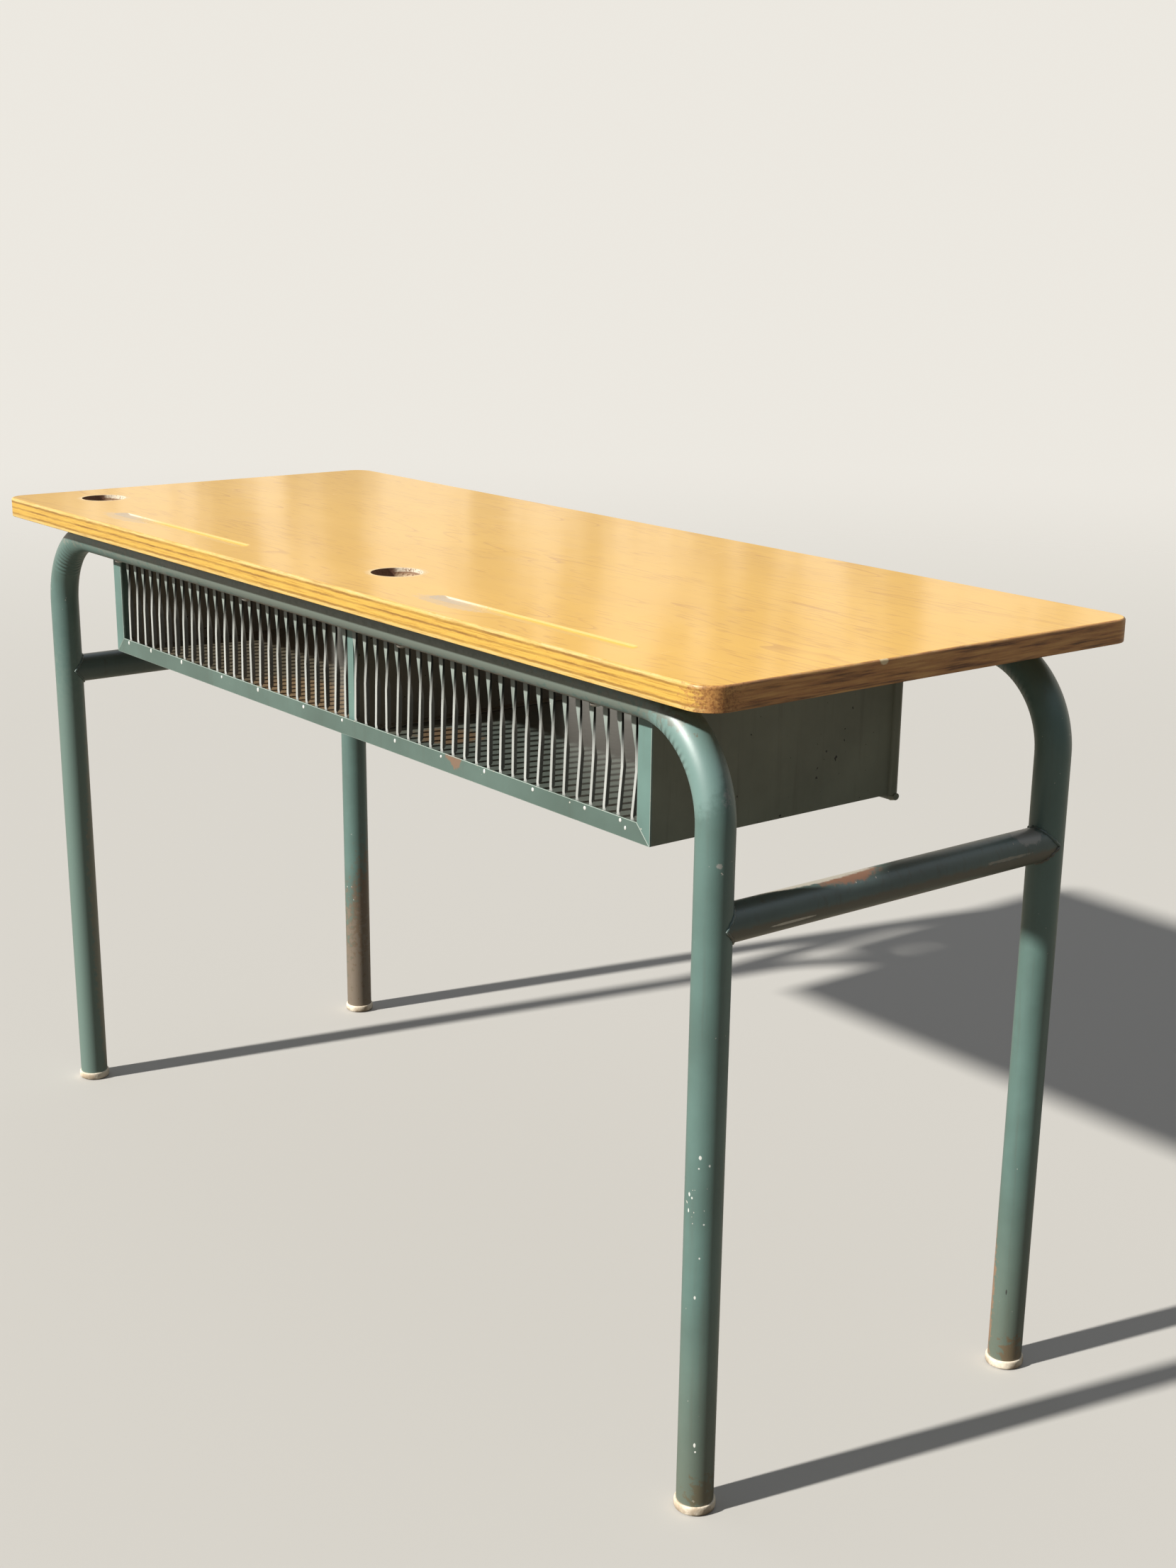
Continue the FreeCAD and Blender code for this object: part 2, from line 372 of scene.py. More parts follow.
board = {"length": 1300, "depth": 512, "thick": 22, "top": 760, "corner": 24, "rim": 2.5, "lowRim": 0.8,
         "cutRim": 0.9, "holeRadius": 26, "holeFromLeft": 78, "holeFromFront": 93,
         "grooveFromLeft": 198, "grooveFromFront": 50, "grooveLength": 312, "grooveWidth": 19,
         "grooveDepth": 1.7, "grooveDraft": 1.0, "grooveRunOut": 15}
underTop = board["top"] - board["thick"]
halfLength = board["length"] / 2
halves = (-halfLength, 0)
holeY = board["holeFromFront"] - board["depth"] / 2
grooveY = board["grooveFromFront"] - board["depth"] / 2

varnish = {"wood": (0.985, 0.55, 0.062, 1), "fleck": (0.62, 0.27, 0.03, 1), "fleckShare": 0.55, "gloss": 0.06,
           "scratch": (0.86, 0.62, 0.30, 1), "worn": (0.90, 0.72, 0.44, 1), "wornRadius": 0.0335,
           "dust": (0.62, 0.53, 0.42, 1), "dustAlong": 49, "dustAcross": -8.5}


def faceFinish():
    finish, tree, shader, place = newFinish("topVarnish")
    sheet = veneerSheet(tree, place, varnish["wood"], varnish["fleck"], varnish["fleckShare"])
    scuff = drawnNoise(tree, place, (9, 9, 9), 6.0, 0.7)
    hair = drawnNoise(tree, place, (420, 24, 24), 1.0, shift=(0.3, 0.1, 0.0))
    scratch = times(tree, window(tree, hair, 0.70, 0.76), window(tree, scuff, 0.5, 0.62))
    colour = mixColour(tree, times(tree, scratch, 0.25), sheet["Color"], varnish["scratch"])
    flaw = flawNoise(tree, place)
    dull = times(tree, scratch, 0.2)
    for left in halves:
        hole = mm(left + board["holeFromLeft"], holeY, board["top"])
        rubbed = spotMask(tree, place, flaw, hole, varnish["wornRadius"], ragged=0.12)
        colour = mixColour(tree, rubbed, colour, varnish["worn"])
        grooveEnd = left + board["grooveFromLeft"]
        heap = mm(grooveEnd + varnish["dustAlong"], grooveY + varnish["dustAcross"], board["top"])
        dusty = times(tree, spotMask(tree, place, flaw, heap, 0.03, (0.5, 1.8, 1), 0.45), 0.5)
        colour = mixColour(tree, dusty, colour, varnish["dust"])
        dull = plusShare(tree, dull, plus(tree, rubbed, dusty), 0.3)
    rough = plus(tree, plusShare(tree, varnish["gloss"], scuff, 0.07), dull)
    wave = drawnNoise(tree, place, (5, 9, 9))
    dress(tree, shader, colour, rough, plusShare(tree, wave, sheet["Height"], 0.012), 0.0004)
    return finish


groove = {"wood": (0.90, 0.53, 0.075, 1), "dust": (0.60, 0.52, 0.43, 1), "dustFrom": 27, "dustTo": 122,
          "farWallHighlight": (0.66, 0.43, 0.165, 1)}


# both halves are read as the left one, so that dust gathers at each groove's left end
def grooveFinish():
    finish, tree, shader, place = newFinish("grooveWood")
    x, y = axesOf(tree, place)[:2]
    sheet = veneerSheet(tree, place, groove["wood"], varnish["fleck"], 0.3)
    # painted highlight: a paler tone along the groove's far wall, where the light catches it
    paintedHighlightWall = window(tree, minus(tree, y, grooveY / 1000), 0.0076, 0.0086)
    colour = mixColour(tree, paintedHighlightWall, sheet["Color"], groove["farWallHighlight"])
    grains = grainNoise(tree, place, 300.0, 3.0)
    gather = drawnNoise(tree, place, (26, 90, 60), 3.0)
    along = minus(tree, x, times(tree, sums(tree, "GREATER_THAN", x, 0.0), halfLength / 1000))
    start = board["grooveFromLeft"] - halfLength
    spread = window(tree, along, (start + groove["dustFrom"]) / 1000, (start + groove["dustTo"]) / 1000)
    dust = times(tree, minus(tree, 1.0, spread), window(tree, plus(tree, gather, grains), 0.6, 0.95))
    colour = mixColour(tree, times(tree, dust, 0.85), colour, groove["dust"])
    rough = plusShare(tree, 0.14, dust, 0.5)
    dress(tree, shader, colour, rough, plusShare(tree, sheet["Height"], dust, grains), 0.0001)
    return finish


# height in the board's thickness: 0 at the underside, 1 at the face
def plyLevel(tree, z):
    return sums(tree, "DIVIDE", minus(tree, z, underTop / 1000), board["thick"] / 1000)


holes = {"pale": (0.72, 0.55, 0.36), "brown": (0.24, 0.12, 0.06), "worn": (0.76, 0.66, 0.51),
         "dirtAndPaintedShade": (0.19, 0.095, 0.06, 1), "paintedShadeHeading": (0.62, 0.785)}


# raw plies inside the inkwell holes, worn pale, with painted shade darkening the front-left wall
def holeFinish():
    finish, tree, shader, place = newFinish("holeWood")
    x, y, z = axesOf(tree, place)
    waver = grainNoise(tree, place, 60.0, 3.0)
    level = plusShare(tree, plyLevel(tree, z), minus(tree, waver, 0.5), 0.12)
    pale, brown, worn = (holes[tone] for tone in ("pale", "brown", "worn"))
    layers = rampColours(tree, level, [
        (0.0, brown), (0.06, pale), (0.24, brown), (0.30, pale), (0.50, pale), (0.54, brown), (0.60, pale),
        (0.80, brown), (0.86, worn), (1.0, worn)])
    speck = grainNoise(tree, place, 420.0, 3.0, 0.6)
    colour = mixColour(tree, window(tree, speck, 0.52, 0.66), layers, (*brown, 1))
    firstHole = (board["holeFromLeft"] - halfLength) / 1000
    onRight = sums(tree, "GREATER_THAN", x, firstHole + halfLength / 2000)
    middle = plusShare(tree, firstHole, onRight, halfLength / 1000)
    headingX, headingY = holes["paintedShadeHeading"]
    across = times(tree, minus(tree, middle, x), headingX)
    across = plusShare(tree, across, minus(tree, holeY / 1000, y), headingY)
    # painted shade: the front-left side of each hole wall, which lies in shade, is darkened
    colour = mixColour(tree, window(tree, across, 0.001, 0.007), colour, holes["dirtAndPaintedShade"])
    rough = plusShare(tree, 0.5, speck, 0.3)
    dress(tree, shader, colour, rough, plus(tree, speck, waver), 0.0006)
    return finish


plies = {"cream": (0.635, 0.455, 0.168), "warm": (0.625, 0.385, 0.076), "tan": (0.45, 0.26, 0.056),
         "dark": (0.31, 0.165, 0.036), "speck": (0.34, 0.13, 0.03, 1), "rim": (0.80, 0.62, 0.33, 1),
         "grubbyRun": 16, "fibre": (0.50, 0.235, 0.07, 1), "fibreDark": (0.22, 0.075, 0.022, 1),
         "corner": (0.650, -0.250, 0.749), "chip": (0.92, 0.72, 0.42, 1), "chipPlace": (0.649, -0.066, 0.759)}


# cut plies: light and dark layers by height, end grain speckle and worn corners
def edgeFinish():
    finish, tree, shader, place = newFinish("plyEdge")
    axes = axesOf(tree, place)
    waver = drawnNoise(tree, place, (6, 6, 6))
    jag = grainNoise(tree, place, 110.0, 3.0, 0.6)
    uneven = plusShare(tree, times(tree, waver, 0.07), jag, 0.06)
    level = plus(tree, plyLevel(tree, axes["Z"]), minus(tree, uneven, 0.065))
    cream, warm, tan, dark = (plies[tone] for tone in ("cream", "warm", "tan", "dark"))
    layers = rampColours(tree, level, [
        (0.0, tan), (0.03, cream), (0.135, cream), (0.165, tan), (0.20, dark), (0.235, dark), (0.28, warm),
        (0.455, warm), (0.485, tan), (0.515, dark), (0.55, dark), (0.59, warm), (0.74, warm), (0.77, tan),
        (0.80, dark), (0.845, dark), (0.885, cream), (1.0, cream)])
    broken = window(tree, drawnNoise(tree, place, (16, 16, 150), 4.0, 0.6), 0.42, 0.60)
    layers = mixColour(tree, times(tree, broken, 0.45), layers, (*warm, 1))
    streak = drawnNoise(tree, place, (30, 30, 900), 4.0, 0.65)
    shade = rampColours(tree, streak, [(0.30, (0.62, 0.50, 0.40)), (0.52, (1.05, 1.04, 1.0))])
    colour = mixColour(tree, 0.75, layers, shade, "MULTIPLY")
    speck = grainNoise(tree, place, 520.0, 3.0, 0.6)
    speckMask = times(tree, window(tree, speck, 0.60, 0.72), 0.4)
    colour = mixColour(tree, speckMask, colour, plies["speck"])

    # the two ends are grubby, and the near corner is split into red-brown fibres
    fromMiddle = sums(tree, "ABSOLUTE", axes["X"])
    end = window(tree, fromMiddle, (halfLength - plies["grubbyRun"]) / 1000, halfLength / 1000)
    smear = drawnNoise(tree, place, (14, 14, 260), 5.0, 0.62)
    grubby = rampColours(tree, smear, [(0.34, (0.135, 0.051, 0.028)), (0.48, (0.58, 0.252, 0.092)),
                                       (0.62, (0.80, 0.42, 0.15))])
    colour = mixColour(tree, times(tree, end, 0.86), colour, grubby)
    crumb = drawnNoise(tree, place, (240, 240, 420), 3.0, 0.6)
    corner = spotMask(tree, place, crumb, plies["corner"], 0.085, (1, 1, 0.4), 0.6)
    fibre = mixColour(tree, window(tree, speck, 0.40, 0.62), plies["fibre"], plies["fibreDark"])
    colour = mixColour(tree, times(tree, corner, 0.75), colour, fibre)

    rim = window(tree, level, 0.90, 0.97)
    flakes = window(tree, drawnNoise(tree, place, (40, 40, 90), 4.0, 0.65), 0.52, 0.62)
    colour = mixColour(tree, times(tree, times(tree, rim, flakes), 0.3), colour, plies["rim"])
    chip = spotMask(tree, place, flawNoise(tree, place), plies["chipPlace"], 0.0045, (1, 0.8, 1), 0.3)
    colour = mixColour(tree, chip, colour, plies["chip"])
    rough = plusShare(tree, 0.3, streak, 0.3)
    dress(tree, shader, colour, rough, plusShare(tree, times(tree, streak, 0.6), speck, 0.4), 0.0004)
    return finish


underside = {"wood": (0.55, 0.31, 0.10, 1), "fleck": (0.26, 0.11, 0.03, 1), "dust": (0.36, 0.25, 0.14, 1)}


def undersideFinish():
    finish, tree, shader, place = newFinish("topUnderside")
    sheet = veneerSheet(tree, place, underside["wood"], underside["fleck"], 0.45)
    dust = grainNoise(tree, place, 14.0, 5.0, 0.6)
    colour = mixColour(tree, window(tree, dust, 0.45, 0.8), sheet["Color"], underside["dust"])
    dress(tree, shader, colour, plusShare(tree, 0.5, dust, 0.2), sheet["Height"], 0.0002)
    return finish


tube = {"radius": 16.85, "legX": 608, "legY": 206, "bend": 90, "railZ": 721.15, "footZ": 9, "sides": 56,
        "legSteps": 20, "bendSteps": 28, "railSteps": 30, "crossSteps": 16, "stretcherZ": 547, "bead": 1.5,
        "beadSteps": 72, "beadOut": 0.2, "beadOff": 0.4}
bendX = tube["legX"] - tube["bend"]
bendZ = tube["railZ"] - tube["bend"]


# small creases on the inner side of the tube's bends
def bendRipple(tree, place):
    axes = axesOf(tree, place)
    out = minus(tree, sums(tree, "ABSOLUTE", axes["X"]), bendX / 1000)
    up = minus(tree, axes["Z"], bendZ / 1000)
    angle = sums(tree, "ARCTAN2", up, out)
    reach = sums(tree, "SQRT", plusShare(tree, times(tree, out, out), up, up))
    inner = minus(tree, 1.0, window(tree, reach, 0.080, 0.092))
    inBend = minus(tree, window(tree, angle, 0.45, 0.7), window(tree, angle, 1.05, 1.3))
    return times(tree, sums(tree, "SINE", times(tree, angle, 85.0)), times(tree, inner, inBend))


palePrimer = (0.50, 0.49, 0.43)
darkPrimer = (0.022, 0.020, 0.016)


# marks lists worn places and places of painted light or shade, each with its centre, reach, stretch, tint
# and, where given, how ragged it is
def paintFinish(name, paint, chips=0.3, rust=0.3, streaks=0.2, marks=(), primer=palePrimer, grime=0.0,
                grimeHeight=0.3, coat=0.45, haze=0.3, ripple=0.0):
    finish, tree, shader, place = newFinish(name)
    values = {"Place": place, "Paint": (*paint, 1), "Primer": (*primer, 1), "Chips": chips, "Rust": rust,
              "Grime": grime, "GrimeHeight": grimeHeight, "Streaks": streaks}
    worn = put(tree, "Group", values, node_tree=paintWear).outputs
    colour = worn["Color"]
    flaw = flawNoise(tree, place) if marks else None
    for centre, reach, stretch, tint, *ragged in marks:
        mask = spotMask(tree, place, flaw, centre, reach, stretch, *ragged)
        colour = mixColour(tree, mask, colour, (*tint, 1))
    height = worn["Height"]
    if ripple:
        height = plusShare(tree, height, bendRipple(tree, place), ripple)
    dress(tree, shader, colour, worn["Roughness"], height, 0.0003)
    mirror = 0.5 if coat else 0.2
    feed(tree, shader, {"Coat Weight": coat, "Coat Roughness": haze, "Specular IOR Level": mirror})
    return finish


topVarnish = faceFinish()
grooveWood = grooveFinish()
holeWood = holeFinish()
plyEdge = edgeFinish()
topUnderside = undersideFinish()
rustTone = (0.21, 0.135, 0.09)
salmonTone = (0.30, 0.165, 0.11)
paleTone = (0.62, 0.58, 0.49)
chipTone = (0.66, 0.68, 0.64)
whiteTone = (0.85, 0.85, 0.80)
oliveTone = (0.122, 0.114, 0.088)
stretcherWearAndPaintedHighlight = [
    ((0.6205, 0, 0.536), 0.013, (0.6, 0.02, 1.0), oliveTone, 0.25),
    ((0.602, -0.055, 0.5655), 0.042, (1.1, 1.0, 5.5), salmonTone),
    # painted highlight: pale line along the sunlit top of the stretcher
    ((0.6025, -0.085, 0.564), 0.012, (1.2, 0.15, 5.0), paleTone, 0.3),
    ((0.6238, -0.13, 0.5412), 0.012, (0.5, 0.42, 8.0), paleTone, 0.35),
    ((0.6245, 0.135, 0.5475), 0.01, (0.5, 0.33, 6.0), (0.3, 0.29, 0.24), 0.9),
    ((0.612, 0.17, 0.561), 0.02, (1, 1, 2), (0.3, 0.31, 0.29))]
railMarks = [
    ((0.214, -0.188, 0.6005), 0.0085, (1, 1, 0.8), rustTone, 1.3),
    ((0.206, -0.188, 0.603), 0.006, (0.6, 1, 1), rustTone, 1.1)]

# chips on the near right leg: place, reach, upright squeeze, tone and raggedness
legChips = [
    (0.6174, -0.22, 0.3475, 0.0016, 0.7, chipTone),
    (0.6228, -0.214, 0.3407, 0.001, 0.7, chipTone),
    (0.6166, -0.2205, 0.3376, 0.0009, 1, chipTone),
    (0.6081, -0.2228, 0.311, 0.001, 0.45, chipTone, 1.0),
    (0.6111, -0.2226, 0.309, 0.0009, 0.8, chipTone),
    (0.6075, -0.2228, 0.296, 0.001, 0.35, chipTone, 1.0),
    (0.621, -0.2168, 0.2861, 0.0009, 1, chipTone),
    (0.619, -0.219, 0.254, 0.0009, 0.8, chipTone),
    (0.6164, -0.2206, 0.216, 0.0011, 0.6, chipTone),
    (0.6194, -0.2184, 0.0715, 0.0011, 0.45, whiteTone),
    (0.62, -0.2178, 0.065, 0.001, 0.9, whiteTone)]
frameWearAndPaintedLight = [
    # painted highlight: paler paint over the lit side of the near right bend
    ((0.58, -0.2226, 0.69), 0.062, (1, 2.0, 1), (0.16, 0.268, 0.245), 0.2),
    ((0.1, -0.2226, 0.716), 0.011, (0.016, 1, 1), (0.16, 0.196, 0.166), 1.3),
    # painted shadow: dark band along the top of the front rail, under the board's overhang
    ((0.12, -0.214, 0.7345), 0.0185, (0.02, 1, 1), (0.056, 0.092, 0.066), 0.3),
    ((0.1, -0.215, 0.7065), 0.0035, (0.006, 1, 1), (0.16, 0.12, 0.075), 0.9),
    ((0.6245, -0.207, 0.672), 0.007, (1, 1, 0.3), (0.19, 0.235, 0.215), 1.2),
    ((0.6235, -0.214, 0.604), 0.003, (1, 1, 1), (0.34, 0.35, 0.32), 0.8)]
frameWearAndPaintedLight += [((x, y, z), reach, (1, 1, squeeze), *look) for x, y, z, reach, squeeze, *look in legChips]
frameWearAndPaintedLight += [
    ((0.62, -0.2178, 0.0145), 0.0018, (1, 1, 0.8), (0.4, 0.36, 0.28)),
    ((0.6243, -0.2104, 0.016), 0.015, (1, 1, 0.7), (0.118, 0.108, 0.064), 2.2),
    ((0.5949, 0.1954, 0.07), 0.01, (1, 1, 0.1), (0.27, 0.165, 0.1), 1.0),
    ((0.623, 0.1983, 0.017), 0.014, (1, 1, 0.8), (0.138, 0.104, 0.058), 2.2),
    ((0.6162, 0.1913, 0.086), 0.0008, (1, 1, 0.25), (0.03, 0.034, 0.03)),
    # painted bounce light: the next two marks make the near left leg lighter and warmer, the second on its
    # shaded rear-right side
    ((-0.608, -0.206, 0.25), 0.35, (1.6, 1.6, 1.0), (0.128, 0.2, 0.172), 0.3),
    ((-0.5985, -0.1845, 0.22), 0.024, (1, 1, 0.075), (0.205, 0.212, 0.16), 0.5),
    ((-0.596, 0.2255, 0), 0.285, (5.3, 5.3, 1.0), (0.165, 0.112, 0.068), 0.4),
    ((-0.608, 0.206, 0.03), 0.1, (1.6, 1.6, 1.0), (0.19, 0.15, 0.11), 2.4)]
framePaint = paintFinish(
    "framePaint", (0.098, 0.178, 0.16), chips=0.15, marks=frameWearAndPaintedLight, grime=0.67, grimeHeight=0.22, coat=1.0,
    haze=0.5, ripple=2.5)
stretcherPaint = paintFinish(
    "stretcherPaint", (0.1, 0.145, 0.135), rust=0.75, streaks=0.5, marks=stretcherWearAndPaintedHighlight)
grillePaint = paintFinish("grillePaint", (0.132, 0.225, 0.203), chips=0, rust=0.2, streaks=0.12)
railPaint = paintFinish("railPaint", (0.098, 0.15, 0.13), chips=0, rust=0.2, streaks=0.15, marks=railMarks)
rubbedPaint = paintFinish("rubbedPaint", (0.36, 0.43, 0.39), chips=1.0)
# painted shade: the bars' upper ends under the front rail are darkened
barPaintedShadeUnderRail = [((0, -0.185, 0.724), 0.034, (0.001, 0.3, 1), (0.085, 0.092, 0.082), 0.1)]
barPaint = paintFinish("barPaint", (0.27, 0.315, 0.29), chips=0.4, rust=0.35, streaks=0.25, marks=barPaintedShadeUnderRail)
# painted shade: the bars' edges turn near-black towards their tops, under the rail
barEdgePaintedShade = [((0, -0.185, 0.73), 0.07, (0.001, 0.3, 1), (0.025, 0.027, 0.024), 0.03)]
barEdgePaint = paintFinish("barEdgePaint", (0.53, 0.545, 0.525), chips=0.6, streaks=0.25, marks=barEdgePaintedShade)
# painted shade: the bars' rear faces, which look into the box, are painted near-black
barBackPaintedShade = paintFinish(
    "barBackPaintedShade", (0.03, 0.033, 0.028), chips=0.2, rust=0.35, primer=(0.2, 0.19, 0.17))
boxPaint = paintFinish("boxPaint", (0.215, 0.232, 0.174), streaks=0.25, primer=darkPrimer)
innerPaint = paintFinish("innerPaint", (0.26, 0.232, 0.185), rust=0.4, streaks=0.3, primer=darkPrimer, coat=0)
weldMetal = paintFinish("weldMetal", (0.74, 0.75, 0.72), rust=0.2)
floorMarks = [
    ((0.29, -0.03, 0.5895), 0.33, (1, 1, 1), (0.118, 0.144, 0.126), 0.3),
    ((-0.27, -0.05, 0.5895), 0.36, (1, 1, 1), (0.158, 0.138, 0.096), 0.3),
    ((0.088, -0.11, 0.5895), 0.03, (0.7, 0.8, 1), (0.185, 0.125, 0.072)),
    ((-0.145, -0.125, 0.5895), 0.06, (0.45, 1.0, 1), (0.3, 0.21, 0.12))]
floorPaint = paintFinish(
    "floorPaint", (0.143, 0.15, 0.12), rust=0.4, marks=floorMarks, primer=(0.36, 0.29, 0.2), grime=0.3,
    grimeHeight=2.0, coat=0.7, haze=0.17)

plastic = {"pale": (0.92, 0.82, 0.66, 1), "stain": (0.62, 0.48, 0.33, 1), "dirtAndPaintedShade": (0.22, 0.16, 0.10, 1)}


def plasticFinish():
    finish, tree, shader, place = newFinish("footPlastic")
    stain = grainNoise(tree, place, 55.0, 5.0, 0.65)
    speck = grainNoise(tree, place, 380.0)
    height = axesOf(tree, place)[2]
    low = minus(tree, 1.0, sums(tree, "DIVIDE", height, tube["footZ"] / 1000), clamp=True)
    colour = mixColour(tree, window(tree, stain, 0.42, 0.75), plastic["pale"], plastic["stain"])
    dirty = times(tree, low, window(tree, stain, 0.35, 0.6))
    colour = mixColour(tree, dirty, colour, plastic["dirtAndPaintedShade"])
    dress(tree, shader, colour, plusShare(tree, 0.42, stain, 0.3), plus(tree, speck, stain), 0.0003)
    return finish


steel = {"bright": (0.50, 0.49, 0.47, 1), "rusty": (0.26, 0.17, 0.10, 1)}


def steelFinish():
    finish, tree, shader, place = newFinish("screwSteel")
    cloud = grainNoise(tree, place, 130.0, 4.0, 0.6)
    colour = mixColour(tree, window(tree, cloud, 0.42, 0.7), steel["bright"], steel["rusty"])
    feed(tree, shader, {"Metallic": 0.9})
    dress(tree, shader, colour, plusShare(tree, 0.28, cloud, 0.4), cloud, 0.0002)
    return finish


footPlastic = plasticFinish()
screwSteel = steelFinish()
print("finishes built")


def holeCutter(bm, left):
    radius = board["holeRadius"] / 1000
    made = bmesh.ops.create_cone(bm, cap_ends=True, segments=72, radius1=radius, radius2=radius,
                                 depth=board["thick"] * 2 / 1000)["verts"]
    middle = mm(left + board["holeFromLeft"], holeY, board["top"] - board["thick"] / 2)
    move(bm, made, middle)


# stadium outline pushed down into the face, a little narrower at the bottom
def grooveCutter(bm, left):
    half = board["grooveWidth"] / 2
    run = board["grooveLength"] - board["grooveWidth"]
    middle = mm(left + board["grooveFromLeft"] + board["grooveLength"] / 2, grooveY, board["top"])
    made = bmesh.ops.create_circle(bm, cap_ends=True, radius=half / 1000, segments=48)["verts"]
    for side in (-1, 1):
        end = [vert for vert in made if vert.co.x * side > 1e-5]
        move(bm, end, mm(side * run / 2, 0, 0))
    move(bm, made, middle - mm(0, 0, board["grooveDepth"]))
    grown = bmesh.ops.extrude_face_region(bm, geom=made[0].link_faces[:])["geom"]
    move(bm, vertsOf(grown), mm(0, 0, board["grooveDepth"] * 2))
    shrink = (1 - board["grooveRunOut"] * 2 / board["grooveLength"], 1 - board["grooveDraft"] / half, 1)
    bmesh.ops.scale(bm, vec=shrink, verts=made, space=Matrix.Translation(-middle))


# true near the row of cuts at y, clear of the board's own edges
def nearCut(spot, y, halfWidth):
    return abs(spot.y - y) < halfWidth + 2 * board["cutRim"] and abs(spot.x) < halfLength - board["corner"]


def boardFinish(face):
    spot = face.calc_center_median() * 1000
    slack = 0.2
    level = 0.97
    if face.normal.z > level and spot.z > board["top"] - slack:
        return topVarnish
    if face.normal.z < -level and spot.z < underTop + slack:
        return topUnderside
    if nearCut(spot, grooveY, board["grooveWidth"] / 2):
        return grooveWood
    return holeWood if nearCut(spot, holeY, board["holeRadius"]) else plyEdge


def makeBoard():
    bm = bmesh.new()
    half = mm(board["length"], board["depth"], board["thick"]) / 2
    middle = mm(0, 0, board["top"] - board["thick"] / 2)
    plate(bm, middle - half, middle + half)
    softenEdges(bm, [edge for edge in bm.edges if riseOf(edge) > 0.001], board["corner"], 14)
    upper = [edge for edge in sharpEdges(bm, 60) if edge.verts[0].co.z > middle.z]
    softenEdges(bm, upper, board["rim"], 5)
    lower = [edge for edge in sharpEdges(bm, 60) if edge.verts[0].co.z < middle.z]
    softenEdges(bm, lower, board["lowRim"], 3)
    piece = looseMesh(bm, "varnished_top")
    cutter = bmesh.new()
    for left in halves:
        holeCutter(cutter, left)
        grooveCutter(cutter, left)
    bm = bmesh.new()
    bm.from_mesh(carved(piece, cutter))
    mergeDoubles(bm)
    softenEdges(bm, sharpEdges(bm, 40), board["cutRim"], 3)
    finishes = [topVarnish, plyEdge, topUnderside, grooveWood, holeWood]
    for face in bm.faces:
        face.material_index = finishes.index(boardFinish(face))
    bm.to_mesh(piece.data)
    bm.free()
    finishPiece(piece, finishes, ["top_board"], 50)


makeBoard()
print("top built")


def tubeRing(bm, matrix):
    bmesh.ops.create_circle(bm, cap_ends=False, radius=tube["radius"] / 1000, segments=tube["sides"],
                            matrix=matrix)


def bentTube(name, y, node):
    bm = bmesh.new()
    tubeRing(bm, Matrix.Translation(mm(-tube["legX"], y, tube["footZ"])))
    rise = mm(0, 0, bendZ - tube["footZ"])
    edges = pull(bm, list(bm.edges), rise, tube["legSteps"])
    made = turn(bm, cornersOf(edges) + edges, mm(-bendX, y, bendZ), (0, 1, 0), 90, tube["bendSteps"])
    edges = pull(bm, edgesOf(made), mm(2 * bendX, 0, 0), tube["railSteps"])
    made = turn(bm, cornersOf(edges) + edges, mm(bendX, y, bendZ), (0, 1, 0), 90, tube["bendSteps"])
    pull(bm, edgesOf(made), -rise, tube["legSteps"])
    mergeDoubles(bm)
    closeEnds(bm)
    settle(bm, name, [framePaint], [node])


bentTube("front_bent_tube", -tube["legY"], "front_frame_tube")
bentTube("rear_bent_tube", tube["legY"], "rear_frame_tube")


# weld bead along the saddle where the cross tube meets a leg
def weldBead(bm, x, y, towards, dice):
    path = bpy.data.curves.new("weldPath", "CURVE")
    path.dimensions = "3D"
    path.bevel_depth = tube["bead"] / 1000
    path.bevel_resolution = 3
    line = path.splines.new("POLY")
    line.points.add(tube["beadSteps"] - 1)
    line.use_cyclic_u = True
    wide = tube["radius"] + tube["beadOut"]
    for index, dot in enumerate(line.points):
        angle = math.tau * index / tube["beadSteps"]
        reach = tube["radius"] * abs(math.sin(angle)) + tube["beadOff"]
        height = tube["stretcherZ"] + wide * math.sin(angle)
        dot.co = (*mm(x + wide * math.cos(angle), y + towards * reach, height), 1)
        dot.radius = 0.8 + 0.25 * math.sin(index * 1.9) + dice.uniform(-0.15, 0.25)
    holder = newObject("weldPath", path)
    bm.from_mesh(meshNow(holder))
    bpy.data.objects.remove(holder)


def crossTube(name, side, node, dice):
    x = side * tube["legX"]
    bm = bmesh.new()
    start = Matrix.Translation(mm(x, -tube["legY"], tube["stretcherZ"]))
    tubeRing(bm, start @ Matrix.Rotation(math.pi / 2, 4, "X"))
    pull(bm, list(bm.edges), mm(0, 2 * tube["legY"], 0), tube["crossSteps"])
    faceOutwards(bm)
    for towards in (-1, 1):
        weldBead(bm, x, towards * tube["legY"], -towards, dice)
    settle(bm, name, [stretcherPaint], [node])


weldDice = random.Random(11)
crossTube("left_cross_tube", -1, "left_stretcher", weldDice)
crossTube("right_cross_tube", 1, "right_stretcher", weldDice)
print("tubes built")

# the outline gives how far in from the radius each point lies, and its height
foot = {"radius": 19, "outline": ((19, 0), (3.2, 0), (1.6, 0.25), (0.7, 0.9), (0.3, 1.9), (0.1, 4.0),
                                  (0.3, 6.6), (0.5, 8.0), (0.9, 8.7), (1.5, 8.95), (3.2, 8.9))}


def footCap(name, x, y, node):
    bm = bmesh.new()
    outline = [(foot["radius"] - inset, height) for inset, height in foot["outline"]]
    lathe(bm, outline, mm(x, y, 0), tube["sides"])
    closeEnds(bm)
    settle(bm, name, [footPlastic], [node])


